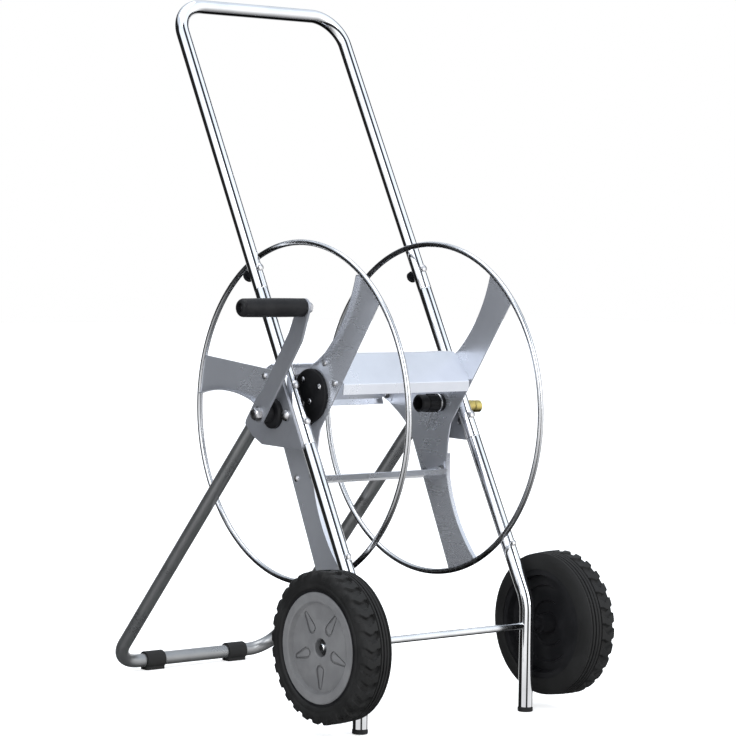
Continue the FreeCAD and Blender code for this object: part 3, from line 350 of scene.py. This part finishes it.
@dataclass
class Shell:
    """Closed quad surfaces gathered into one piece."""

    points: list[Array] = field(default_factory=list)
    faces: list[Array] = field(default_factory=list)
    count: int = 0

    def add(self, grid: Array) -> None:
        """Add one grid of points closed both ways, turned right side out."""
        rows, columns = grid.shape[:2]
        flat = grid.reshape(-1, 3)
        faces = quads(rows, columns, True, True)
        if signed_volume(flat - flat.mean(0), faces) < 0:
            faces = faces[:, ::-1]
        self.points.append(flat)
        self.faces.append(faces + self.count)
        self.count += len(flat)

    def piece(self, name: str, sharp_deg: float = 32.0) -> bpy.types.Object:
        """Make the Blender object.

        Args:
            name: the piece's name.
            sharp_deg: edges that turn more than this stay crisp.

        Returns:
            The object, at the origin.
        """
        points = np.concatenate(self.points)
        faces = np.concatenate(self.faces)
        mesh = bpy.data.meshes.new(name)
        mesh.vertices.add(len(points))
        mesh.vertices.foreach_set("co", points.astype(np.float32).ravel())
        mesh.loops.add(faces.size)
        mesh.loops.foreach_set("vertex_index", faces.astype(np.int32).ravel())
        mesh.polygons.add(len(faces))
        mesh.polygons.foreach_set("loop_start", np.arange(0, faces.size, 4, dtype=np.int32))
        mesh.polygons.foreach_set("use_smooth", np.ones(len(faces), bool))
        mesh.update(calc_edges=True)
        mesh.validate()
        mesh.set_sharp_from_angle(angle=math.radians(sharp_deg))
        made = bpy.data.objects.new(name, mesh)
        bpy.context.scene.collection.objects.link(made)
        return made


@dataclass
class Route:
    """Straight runs joined by tangent arcs, all in one plane."""

    corners: Array
    bend: float
    normal: Array

    def points(self) -> tuple[Array, Array]:
        """Points along the route.

        Each inner corner gives way to an arc whose point at turn t is
        centre - radius * (cos t * out of the bend) + radius * (sin t * along the first run).

        Returns:
            Points and unit directions, one row each.
        """
        places, ways = [], []
        for before, corner, after in zip(self.corners, self.corners[1:], self.corners[2:]):
            into = (corner - before) / np.linalg.norm(corner - before)
            out = (after - corner) / np.linalg.norm(after - corner)
            turn = math.acos(float(np.clip(into @ out, -1, 1)))
            toward = out - into * math.cos(turn)
            toward /= np.linalg.norm(toward)
            begin = corner - into * self.bend * math.tan(turn / 2)
            t = np.linspace(0, turn, max(9, int(math.degrees(turn) / 3)))[:, None]
            places.append(begin + self.bend * (np.sin(t) * into + (1 - np.cos(t)) * toward))
            ways.append(np.cos(t) * into + np.sin(t) * toward)
        first, last = self.corners[0], self.corners[-1]
        start_way = (self.corners[1] - first) / np.linalg.norm(self.corners[1] - first)
        end_way = (last - self.corners[-2]) / np.linalg.norm(last - self.corners[-2])
        places = np.concatenate([first[None]] + places + [last[None]])
        ways = np.concatenate([start_way[None]] + ways + [end_way[None]])
        return places, ways


def swept_tube(route: Route, radius: float, wall: float, lip: float, count: int = 48) -> Array:
    """Hollow tube along a route, with rounded lips at both ends.

    A point is route + r * (cos t * normal + sin t * (direction x normal)): the outline runs out along
    the outside, over the far lip, back along the bore and over the near lip.

    Args:
        route: the tube's middle line.
        radius: outside radius.
        wall: wall thickness.
        lip: radius of the rounding at the tube's ends.
        count: points round the tube.

    Returns:
        Points of shape (outline, count, 3).
    """
    places, ways = route.points()
    turn = np.linspace(0, np.pi / 2, LIP_STEPS)
    near = np.stack([lip * (1 - np.sin(turn)), radius - lip * (1 - np.cos(turn))], axis=1)[::-1]
    rows, steps, radii = [], [], []
    for offset, r in near:
        rows.append(places[0])
        steps.append(ways[0] * offset)
        radii.append(r)
    for place in places[1:-1]:
        rows.append(place)
        steps.append(np.zeros(3))
        radii.append(radius)
    for offset, r in near[::-1]:
        rows.append(places[-1])
        steps.append(-ways[-1] * offset)
        radii.append(r)
    inner = np.arange(len(places))[::-1]
    centres = np.concatenate([np.array(rows) + np.array(steps), places[inner]])
    radii = np.concatenate([np.array(radii), np.full(len(places), radius - wall)])
    ends = [np.repeat(way[None], LIP_STEPS, 0) for way in (ways[0], ways[-1])]
    lead = np.concatenate([ends[0], ways[1:-1], ends[1]])
    directions = np.concatenate([lead, ways[inner]])
    across = np.cross(directions, route.normal)
    t = np.linspace(0, 2 * np.pi, count, endpoint=False)[None, :, None]
    spoke = np.cos(t) * route.normal + np.sin(t) * across[:, None]
    return centres[:, None] + radii[:, None, None] * spoke


# ------------------------------------------------------------------ where things are
def middle(node: str) -> Array:
    """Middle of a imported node's box."""
    low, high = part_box(node)
    return (np.array(low) + np.array(high)) / 2


@dataclass
class Layout:
    """Places that the new pieces share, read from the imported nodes."""

    hub: Array = field(default_factory=lambda: middle("rim_wire_crank_side"))
    axle: Array = field(default_factory=lambda: middle("axle"))
    leg: Array = field(default_factory=lambda: middle("leg_tube_inlet_side"))
    lean: float = math.radians(28.2)

    def __post_init__(self) -> None:
        """Work out the middle plane and the tubes' distance from it."""
        self.mid_x = self.axle[0]
        self.frame_x = abs(self.leg[0] - self.mid_x)
        self.hub[0] = self.mid_x


SIDES = {"crank_side": -1, "inlet_side": 1}


# ------------------------------------------------------------------ frame tubes
@dataclass
class TubeFrame:
    """Handle, side tubes and rear prop as smooth bent tubes."""

    layout: Layout
    radius: float = 10.0 * MM
    wall: float = 1.5 * MM
    lip: float = 0.9 * MM
    bend_z: float = 152.0 * MM
    leg_bend: float = 60.0 * MM
    leg_foot_z: float = 6.0 * MM
    leg_top_z: float = 371.0 * MM
    handle_foot_z: float = 577.0 * MM
    handle_top_z: float = 978.0 * MM
    handle_bend: float = 48.0 * MM
    prop_bend: float = 45.0 * MM
    prop_bar: tuple[float, float] = (581.6 * MM, 14.4 * MM)
    prop_bolt: tuple[float, float] = (222.4 * MM, 410.4 * MM)
    prop_past_bolt: float = 12.0 * MM

    def on_lean(self, side: int, z: float) -> Array:
        """Point of a side tube's middle line at height z."""
        mid = self.layout
        y = mid.axle[1] + (z - self.bend_z) * math.tan(mid.lean)
        return np.array([mid.mid_x + side * mid.frame_x, y, z])

    def tube(self, corners: Sequence[Array], bend: float, normal: Array) -> Array:
        """One hollow tube through the corners."""
        return swept_tube(Route(np.array(corners), bend, normal), self.radius, self.wall, self.lip)

    def handle(self) -> Array:
        """Push handle, a U open at the bottom."""
        corners = [self.on_lean(1, self.handle_foot_z), self.on_lean(1, self.handle_top_z),
                   self.on_lean(-1, self.handle_top_z), self.on_lean(-1, self.handle_foot_z)]
        lean = self.layout.lean
        return self.tube(corners, self.handle_bend, np.array([0, math.cos(lean), -math.sin(lean)]))

    def middle_tube(self, side: int) -> Array:
        """Straight tube below the handle."""
        ends = [self.on_lean(side, self.leg_top_z), self.on_lean(side, self.handle_foot_z)]
        return self.tube(ends, self.leg_bend, np.array([1.0, 0, 0]))

    def leg(self, side: int) -> Array:
        """Bottom tube, upright at its foot."""
        knee = self.on_lean(side, self.bend_z)
        foot = np.array([knee[0], knee[1], self.leg_foot_z])
        top = self.on_lean(side, self.leg_top_z)
        return self.tube([foot, knee, top], self.leg_bend, np.array([1.0, 0, 0]))

    def prop(self) -> Array:
        """Rear prop, a U whose bar lies near the ground."""
        mid = self.layout
        bar, bolt = (np.array([mid.mid_x, mid.axle[1] + back, z])
                     for back, z in (self.prop_bar, self.prop_bolt))
        slope = (bar - bolt) / np.linalg.norm(bar - bolt)
        top = bolt - slope * self.prop_past_bolt
        x = np.array([mid.frame_x, 0, 0])
        normal = np.cross(np.array([1.0, 0, 0]), slope)
        return self.tube([top + x, bar + x, bar - x, top - x], self.prop_bend, normal)

    def build(self, palette: Palette) -> list[bpy.types.Object]:
        """Make every tube, hide the nodes they stand for and dress them."""
        plan = [("handle_tube", self.handle(), "chrome_tube"), ("rear_prop_tube", self.prop(), "grey_tube")]
        for name, side in SIDES.items():
            plan.append(("middle_tube_" + name, self.middle_tube(side), "chrome_tube"))
            plan.append(("leg_tube_" + name, self.leg(side), "chrome_tube"))
        made = []
        for node, grid, slot in plan:
            shell = Shell()
            shell.add(grid)
            piece = shell.piece("smooth_" + node)
            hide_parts(node)
            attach(piece, "root")
            palette.dress_piece(piece, slot)
            made.append(piece)
        return made


# ------------------------------------------------------------------ wheels
@dataclass
class Tyre:
    """Solid tyre: ribs on the inner half, slanted lugs on the outer half and a scalloped shoulder."""

    layout: Layout
    radius: float = 100.0 * MM
    seat: float = 76.0 * MM
    width: float = 50.8 * MM
    inner_x: float = 171.6 * MM
    lugs: int = 28
    steps_per_lug: int = 24
    lug_from: float = 24.5 * MM
    lug_depth: float = 3.6 * MM
    rib_depth: float = 2.4 * MM
    ribs: tuple[float, ...] = (8.2, 13.4, 18.6, 23.8)
    crown: float = 2.4 * MM

    def outline(self) -> Array:
        """Bare section without tread.

        Along the band the radius falls short of the full one by crown times (1 - along / 33 mm) to the
        power 1.4; the shoulder is a quarter ellipse.

        Returns:
            A closed outline of (along, radius), from the inner seat round to the outer.
        """
        r = self.radius
        along = np.linspace(5.0, 45.0, 81) * MM
        tread = np.stack([along, r - self.crown * (1 - np.clip(along / (33 * MM), 0, 1)) ** 1.4], axis=1)
        inner = np.array([[0.0, self.seat], [0.0, 80.5 * MM], [0.4 * MM, 84 * MM], [0.9 * MM, 88 * MM],
                          [2.0 * MM, 92.0 * MM], [3.3 * MM, 95.2 * MM]])
        turn = np.linspace(0, np.pi / 2, 12)[1:]
        shoulder = np.stack([45.0 * MM + 5.2 * MM * np.sin(turn), r - 8.5 * MM * (1 - np.cos(turn))],
                            axis=1)
        wall = np.array([[50.6, 90.4], [50.8, 88.0], [50.8, 85.0], [50.5, 84.3], [50.5, 82.8], [50.8, 82.2],
                         [50.8, 79.0], [50.2, 77.6], [49.4, 76.8], [48.6, 76.0]]) * MM
        return np.concatenate([inner, tread, shoulder, wall])

    def grooves(self, along: Array, turn: Array) -> Array:
        """Depth of the tread at each place.

        On the inner half a groove is a flat-bottomed trough at each rib edge.  On the outer half the
        groove's middle runs zigzag: its phase shifts with the distance from the middle of the band,
        and its depth follows a smooth step of the distance from that middle line.

        Args:
            along: distance from the inner face, any shape.
            turn: angle in turns of one lug, same shape.

        Returns:
            Depth below the bare section.
        """
        rib = np.zeros_like(along)
        for edge in self.ribs:
            gap = np.abs(along / MM - edge)
            rib = np.maximum(rib, 1 - smooth_step((gap - 0.55) / 0.5))
        band = np.clip((along - self.lug_from) / (self.width - self.lug_from), 0, 1)
        zigzag = 0.36 * np.abs(band * 2 - 0.9)
        phase = np.abs((turn + zigzag) % 1.0 - 0.5) * 2
        lug = smooth_step((phase - (0.60 - 0.12 * band)) / 0.10)
        diamond = np.maximum(np.abs(((turn + 0.5 + zigzag) % 1.0) - 0.5) * 2.6, np.abs(band - 0.33) * 4.2)
        lug = np.maximum(lug, 0.75 * (1 - smooth_step((diamond - 0.62) / 0.16)))
        edge_fade = smooth_step((along - self.lug_from) / (1.2 * MM))
        return np.maximum(rib * self.rib_depth * (along < self.lug_from), lug * self.lug_depth * edge_fade)

    def grid(self, side: int) -> Array:
        """Points of the tyre, the outline turned about the axle with the tread cut in."""
        outline = self.outline()
        count = self.lugs * self.steps_per_lug
        angle = np.linspace(0, 2 * np.pi, count, endpoint=False)[:, None]
        along = np.broadcast_to(outline[:, 0], (count, len(outline)))
        bare = np.broadcast_to(outline[:, 1], (count, len(outline)))
        turn = np.broadcast_to(angle / (2 * np.pi) * self.lugs, along.shape)
        reach = smooth_step((bare - 88.5 * MM) / (5.0 * MM)) * (along > 4.0 * MM)
        radius = bare - self.grooves(along, turn) * reach
        x = self.layout.mid_x + side * (self.inner_x + along)
        y = self.layout.axle[1] + radius * np.cos(angle)
        z = self.layout.axle[2] + radius * np.sin(angle)
        return np.stack([x, y, z], axis=-1)

    def build(self, palette: Palette) -> list[bpy.types.Object]:
        """Make both tyres on their wheels."""
        made = []
        for name, side in SIDES.items():
            shell = Shell()
            shell.add(self.grid(side))
            piece = shell.piece("tread_" + name, 40.0)
            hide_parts("tyre_" + name)
            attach(piece, "wheel_" + name)
            palette.dress_piece(piece, "tyre_rubber")
            made.append(piece)
        return made


def smooth_step(value: Array) -> Array:
    """0 below 0, 1 above 1 and 3 v^2 - 2 v^3 between."""
    v = np.clip(value, 0, 1)
    return v * v * (3 - 2 * v)


# ------------------------------------------------------------------ reel
@dataclass
class Reel:
    """Rim wires and the weld beads that hold them to the arms."""

    layout: Layout
    rim_radius: float = 232.2 * MM
    wire: float = 4.0 * MM
    rim_x: float = 116.7 * MM
    arm_angles: tuple[float, ...] = (125.0, 5.0, -115.0)
    arm_edge: float = -50.0 * MM
    tip_edge: float = 6.0 * MM
    bead: float = 1.7 * MM
    ripples: int = 13

    def rim(self, side: int) -> Array:
        """Ring of round wire: every point is hub + (R + r cos v) * spoke + r sin v along x."""
        u = np.linspace(0, 2 * np.pi, 256, endpoint=False)[:, None]
        v = np.linspace(0, 2 * np.pi, 24, endpoint=False)[None, :]
        reach = self.rim_radius + self.wire * np.cos(v)
        x = self.layout.mid_x + side * self.rim_x + self.wire * np.sin(v) + 0 * u
        y = self.layout.hub[1] + reach * np.cos(u)
        z = self.layout.hub[2] + reach * np.sin(u)
        return np.stack([x, y, z], axis=-1)

    def bead_grid(self, side: int, angle: float) -> Array:
        """Weld bead along an arm's tip.

        The middle line is an arc about the hub; the thickness ripples as the square of a sine and
        falls to a fiftieth at both ends.
        """
        tip = self.rim_radius - self.wire + 0.3 * MM
        start = math.radians(angle) - math.atan2(self.tip_edge, tip)
        end = math.radians(angle) - math.atan2(self.arm_edge, tip)
        u = np.linspace(0, 1, 90)[:, None]
        v = np.linspace(0, 2 * np.pi, 12, endpoint=False)[None, :]
        ripple = 0.86 + 0.14 * np.sin(u * 2 * np.pi * self.ripples) ** 2
        swell = np.sqrt(np.clip(1 - (2 * u - 1) ** 8, 0, 1)) * ripple
        thick = self.bead * np.maximum(swell, 0.02)
        turn = start + (end - start) * (0.02 + 0.96 * u)
        reach = tip + 0.6 * thick * np.cos(v)
        x = self.layout.mid_x + side * self.rim_x + thick * np.sin(v)
        y = self.layout.hub[1] + reach * np.cos(turn)
        z = self.layout.hub[2] + reach * np.sin(turn)
        return np.stack([x, y, z], axis=-1)

    def build(self, palette: Palette) -> list[bpy.types.Object]:
        """Make both rims and their weld beads."""
        made = []
        for name, side in SIDES.items():
            ring = Shell()
            ring.add(self.rim(side))
            piece = ring.piece("smooth_rim_" + name)
            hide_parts("rim_wire_" + name)
            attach(piece, "reel")
            palette.dress_piece(piece, "rim_wire")
            made.append(piece)
            beads = Shell()
            for angle in self.arm_angles:
                beads.add(self.bead_grid(side, angle))
            seam = beads.piece("weld_" + name, 50.0)
            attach(seam, "reel")
            palette.dress_piece(seam, "reel_sheet")
            made.append(seam)
        return made


# ------------------------------------------------------------------ studio
@dataclass
class Lamp:
    """One soft box."""

    name: str
    place: tuple[float, float, float]
    size: tuple[float, float]
    power: float


@dataclass
class Studio:
    """Pale floor, pale surround, soft boxes and the camera."""

    layout: Layout
    azimuth: float = -39.304
    elevation: float = 2.714
    roll: float = 0.89
    distance: float = 3.606
    lens: float = 127.96
    target: tuple[float, float, float] = (0.01355, -0.0974, 0.4709)
    front_light: float = 1.45
    back_light: float = 0.02
    rear_light: float = 1.10
    top_light: float = 1.05
    lamps: tuple[Lamp, ...] = (
        Lamp("key", (-3.4, -2.0, 2.6), (1.8, 2.6), 60.0),
        Lamp("front", (0.9, -3.8, 2.0), (1.4, 2.6), 45.0),
        Lamp("top", (0.0, 0.1, 3.6), (2.4, 2.4), 55.0),
    )

    def camera(self) -> bpy.types.Object:
        """Camera aimed at the cart from the front on the crank side."""
        a, e, r = (math.radians(v) for v in (self.azimuth, self.elevation, self.roll))
        back = np.array([math.sin(a) * math.cos(e), -math.cos(a) * math.cos(e), math.sin(e)])
        level = np.array([math.cos(a), math.sin(a), 0.0])
        upright = np.cross(back, level)
        right = math.cos(r) * level + math.sin(r) * upright
        up = -math.sin(r) * level + math.cos(r) * upright
        place = np.array(self.target) + back * self.distance
        data = bpy.data.cameras.new("camera")
        data.lens = self.lens
        data.sensor_width = 36.0
        made = bpy.data.objects.new("camera", data)
        rows = np.stack([right, up, back, place], axis=1)
        made.matrix_world = Matrix([list(row) for row in rows] + [[0, 0, 0, 1]])
        bpy.context.scene.collection.objects.link(made)
        bpy.context.scene.camera = made
        return made

    def floor(self) -> bpy.types.Object:
        """Wide pale floor."""
        span = np.linspace(-14, 14, 15)
        x, y = np.meshgrid(span, span, indexing="ij")
        grid = np.stack([x, y, 0 * x - 0.0005], axis=-1).reshape(-1, 3)
        mesh = bpy.data.meshes.new("floor")
        mesh.from_pydata(grid.tolist(), [], quads(15, 15, False, False)[:, ::-1].tolist())
        made = bpy.data.objects.new("floor", mesh)
        bpy.context.scene.collection.objects.link(made)
        material = bpy.data.materials.new("pale_floor")
        material.use_nodes = True
        material.cycles.emission_sampling = "NONE"
        graph = Graph(material.node_tree)
        shader = graph.node("ShaderNodeBsdfPrincipled", {}, {
            "Base Color": (0.80, 0.80, 0.80, 1), "Roughness": 0.9, "Specular IOR Level": 0.1,
            "Emission Color": (1, 1, 1, 1), "Emission Strength": 0.62})
        graph.node("ShaderNodeOutputMaterial", {}, {"Surface": shader})
        mesh.materials.append(material)
        made.visible_glossy = False
        return made

    def sky(self) -> None:
        """Surround that plated metal reflects.

        Its brightness is a function of the way it is seen in: bright in front of the cart, with a dark
        upright strip there, dark at both sides, bright again straight behind and above, and a grey
        floor below.
        """
        world = bpy.data.worlds.new("surround")
        bpy.context.scene.world = world
        world.use_nodes = True
        graph = Graph(world.node_tree)
        x, y, z = graph.axes("Generated")
        a = math.radians(self.azimuth)
        toward = x * math.sin(a) - y * math.cos(a)
        across = x * math.cos(a) + y * math.sin(a)
        right = (across + across.magnitude()) * 0.5
        front = (toward + right * 0.95).ramp(0.26, 0.40)
        strip = (1.0 - (across - 0.30).magnitude().ramp(0.17, 0.25)) * toward.ramp(0.2, 0.3)
        rear = (toward * -1.0).ramp(0.78, 0.88)
        above = z.ramp(0.50, 0.72)
        behind = (1.0 - front) * (rear * self.rear_light + above * self.top_light + self.back_light)
        ground = z.ramp(-1.0, 0.20) * 0.92 + 0.08
        bright = (front * self.front_light * (1.0 - strip * 0.97) + behind) * ground
        colour = graph.blend(z.ramp(-0.1, 0.8), (1.0, 1.0, 1.0), (0.84, 0.91, 1.0))
        background = graph.node("ShaderNodeBackground", {}, {"Color": colour, "Strength": bright})
        graph.node("ShaderNodeOutputWorld", {}, {"Surface": background})

    def dome(self) -> None:
        """White backdrop that only the camera sees."""
        turn = np.linspace(0, 2 * np.pi, 64, endpoint=False)[:, None]
        lift = np.linspace(-0.5, 0.5, 24)[None, :] * np.pi
        radius = 20.0
        grid = np.stack([radius * np.cos(lift) * np.cos(turn), radius * np.cos(lift) * np.sin(turn),
                         radius * np.sin(lift) + 0 * turn], axis=-1).reshape(-1, 3)
        mesh = bpy.data.meshes.new("backdrop")
        mesh.from_pydata(grid.tolist(), [], quads(64, 24, True, False).tolist())
        made = bpy.data.objects.new("backdrop", mesh)
        bpy.context.scene.collection.objects.link(made)
        material = bpy.data.materials.new("backdrop_white")
        material.use_nodes = True
        material.cycles.emission_sampling = "NONE"
        graph = Graph(material.node_tree)
        glow = graph.node("ShaderNodeEmission", {}, {"Color": (1, 1, 1, 1), "Strength": 1.0})
        graph.node("ShaderNodeOutputMaterial", {}, {"Surface": glow})
        mesh.materials.append(material)
        for kind in ("visible_diffuse", "visible_glossy", "visible_transmission", "visible_shadow"):
            setattr(made, kind, False)

    def build(self) -> None:
        """Set everything up."""
        self.camera()
        self.floor()
        self.dome()
        self.sky()
        for lamp in self.lamps:
            data = bpy.data.lights.new(lamp.name, "AREA")
            data.shape = "RECTANGLE"
            data.size, data.size_y = lamp.size
            data.energy = lamp.power
            made = bpy.data.objects.new(lamp.name, data)
            made.location = lamp.place
            aim = Vector((0, 0, 0.45)) - Vector(lamp.place)
            made.rotation_euler = aim.to_track_quat("-Z", "Y").to_euler()
            bpy.context.scene.collection.objects.link(made)
        bpy.context.scene.view_settings.view_transform = "Standard"


def main() -> None:
    """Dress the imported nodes, add the new pieces and light the scene."""
    logging.basicConfig(level=logging.INFO, format="%(name)s: %(message)s")
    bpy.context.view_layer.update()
    palette = Palette(FINISHES)
    palette.dress_nodes(frame["nodes"], frame["record"]["subparts"])
    layout = Layout()
    for maker in (TubeFrame(layout), Tyre(layout), Reel(layout)):
        for piece in maker.build(palette):
            LOG.info("%s: %d faces", piece.name, len(piece.data.polygons))
    Studio(layout).build()


if __name__ == "__main__":
    main()
